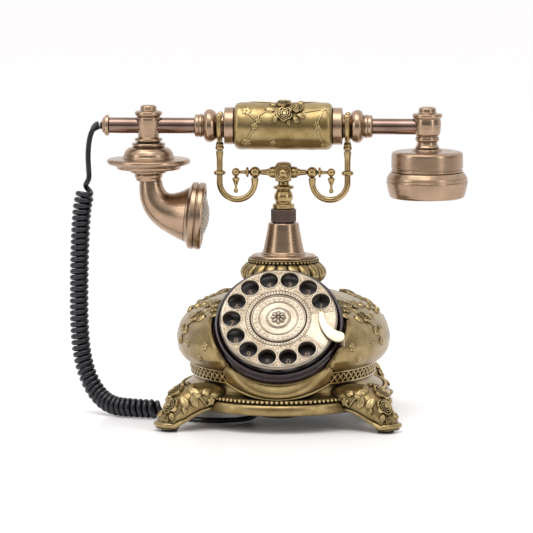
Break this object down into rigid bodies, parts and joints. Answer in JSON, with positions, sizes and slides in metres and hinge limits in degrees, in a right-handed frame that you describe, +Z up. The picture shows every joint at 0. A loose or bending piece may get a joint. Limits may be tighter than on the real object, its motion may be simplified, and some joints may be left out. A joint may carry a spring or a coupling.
{
  "type": "rotary telephone",
  "caption": "Antique-style rotary telephone: an oval footed base with a tilted finger-hole dial, a pillar with a sprung cradle, and a bar handset on a curly cord.",
  "frame": {"origin": "middle of the footprint on the table, under the phone without its cord", "axes": "+Z up, front towards -Y, the handset lies along X with its mouthpiece towards -X"},
  "size_m": [0.327, 0.2288, 0.2576],
  "materials": {
    "antique_gold": "antiqued gold relief, dark in the recesses, satin",
    "bronze": "brushed bronze plating, satin",
    "dark_bronze": "polished dark bronze plating",
    "antique_brass": "polished antique brass",
    "nut_brown": "knurled, dark brown, satin",
    "champagne": "champagne gold plating, satin",
    "black_gloss": "polished black with a purple tint",
    "black_plastic": "moulded, fine grain",
    "steel": "zinc plated",
    "bell_brass": "plain turned brass",
    "board": "printed circuit board",
    "coil_wire": "enamelled copper winding",
    "pad_rubber": "matt black rubber",
    "cord_black": "soft dark blue-black cord jacket, slight sheen"
  },
  "bodies": {
    "base": {"base_casting": "antique_gold", "lattice_band": "antique_gold", "body_shell": "antique_gold", "gadroon_collar": "antique_gold", "pillar_cone": "bronze", "knurled_nut": "nut_brown", "bottom_cover": "black_plastic", "foot_pad_front_left": "pad_rubber", "foot_pad_front_right": "pad_rubber", "foot_pad_rear_left": "pad_rubber", "foot_pad_rear_right": "pad_rubber", "cover_screw_front_left": "steel", "cover_screw_front_right": "steel", "cover_screw_rear_left": "steel", "cover_screw_rear_right": "steel", "dial_bezel": "black_gloss", "number_plate": "black_plastic", "finger_stop": "champagne", "dial_frame": "steel", "circuit_board": "board", "hook_switch": "black_plastic", "gong_left": "bell_brass", "gong_right": "bell_brass", "ringer_coil": "coil_wire", "line_socket": "black_plastic", "cord_socket": "black_plastic", "cord_lead_handset": "cord_black", "cord_coil": "cord_black", "cord_lead_base": "cord_black"},
    "dial": {"finger_plate": "champagne", "dial_medallion": "champagne", "dial_shaft": "steel", "dial_gear": "bell_brass"},
    "governor": {"governor": "steel"},
    "clapper": {"clapper": "steel"},
    "cradle": {"cradle_post": "antique_brass", "cradle_hub": "antique_brass", "arm_left": "antique_brass", "arm_right": "antique_brass", "hook_left": "antique_brass", "hook_right": "antique_brass", "fork_left": "antique_brass", "fork_right": "antique_brass", "hook_spring": "steel"},
    "handset": {"grip_sleeve": "antique_gold", "ferrule_left": "bronze", "ferrule_right": "bronze", "tube_left": "dark_bronze", "tube_right": "dark_bronze", "end_cap": "bronze", "mouth_knob": "bronze", "mouth_flange": "bronze", "mouth_elbow": "bronze", "mouth_rim": "bronze", "mouth_dome": "champagne", "microphone": "black_plastic", "ear_knob": "bronze", "ear_cup": "bronze", "ear_cap": "bronze", "ear_speaker": "black_plastic"}
  },
  "joints": [
    {"name": "dial_turn", "type": "hinge", "parent": "base", "child": "dial", "pos_m": [-0.00005, -0.08384, 0.0897], "axis": [0, 0.7638, -0.6455], "range_deg": [0, 283], "stiffness_Nm_per_rad": 0.005, "springref_deg": -171.89},
    {"name": "governor_spin", "type": "hinge", "parent": "base", "child": "governor", "pos_m": [0.02875, -0.06322, 0.07227], "axis": [0, 0.7638, -0.6455], "range_deg": [-850, 0]},
    {"name": "clapper_swing", "type": "hinge", "parent": "base", "child": "clapper", "pos_m": [-0.00005, 0.02416, 0.037], "axis": [0, 0, 1], "range_deg": [-6.5, 6.5], "stiffness_Nm_per_rad": 0.002},
    {"name": "handset_lift", "type": "slide", "parent": "base", "child": "handset", "axis": [0, 0, 1], "range_m": [0, 0.08]},
    {"name": "cradle_rise", "type": "slide", "parent": "base", "child": "cradle", "axis": [0, 0, 1], "range_m": [0, 0.004], "stiffness_N_per_m": 150, "springref_m": 0.01, "deforming": ["hook_spring"]}
  ],
  "couplings": [
    {"joint": "governor_spin", "follows": "dial_turn", "ratio": -3},
    {"joint": "cradle_rise", "follows": "handset_lift", "ratio": 0.05}
  ]
}
